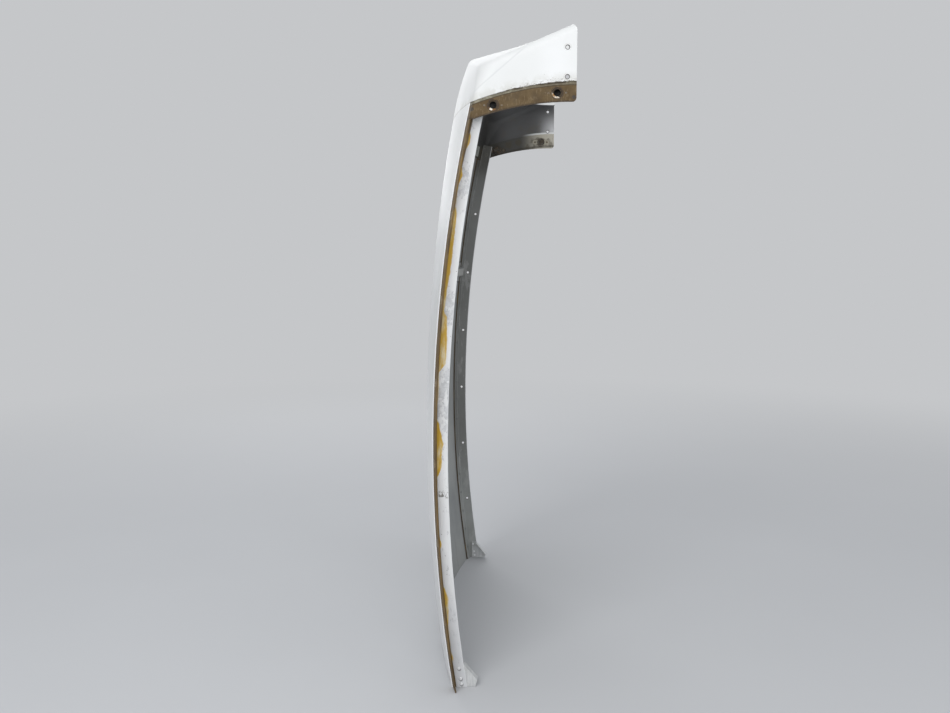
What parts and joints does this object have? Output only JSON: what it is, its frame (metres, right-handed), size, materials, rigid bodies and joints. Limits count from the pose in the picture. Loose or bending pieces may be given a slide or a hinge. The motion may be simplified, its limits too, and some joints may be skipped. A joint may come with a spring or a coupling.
{
  "type": "upper engine cowling",
  "caption": "Arched upper engine cowling with a moulded nose cap, air inlets, side rails and landing strips, standing on its aft edge.",
  "frame": {"origin": "on the floor, below the middle of the whole part's box", "axes": "+Z forward on the aircraft and up as it stands, +X down on the aircraft towards the engine, +Y to the aircraft's left"},
  "size_m": [0.2867, 0.81, 1.2128],
  "materials": {
    "nose_paint": "white gloss paint on fibreglass, bare brown flange",
    "skin_paint": "aluminium sheet painted gloss white outside, grey inside",
    "landing_strip": "bare brown fibreglass laminate, stained",
    "rail": "worn white paint on aluminium with ochre adhesive stains",
    "bare_aluminium": "bare sheet, dull",
    "rivet": "dull rivets",
    "receptacle": "plated steel with light rust"
  },
  "bodies": {
    "root": {"nose_cap": "nose_paint", "top_skin": "skin_paint", "left_landing_strip": "landing_strip", "right_landing_strip": "landing_strip", "left_side_rail": "rail", "right_side_rail": "rail", "left_rail_rivets": "rivet", "right_rail_rivets": "rivet", "left_aft_gusset": "bare_aluminium", "right_aft_gusset": "bare_aluminium", "left_gusset_rivets": "rivet", "right_gusset_rivets": "rivet", "cross_stiffener": "bare_aluminium", "stiffener_rivets": "rivet", "joint_strip": "bare_aluminium", "joint_rivets": "rivet", "left_receptacles": "receptacle", "right_receptacles": "receptacle", "left_receptacle_rivets": "rivet", "right_receptacle_rivets": "rivet"}
  },
  "joints": []
}
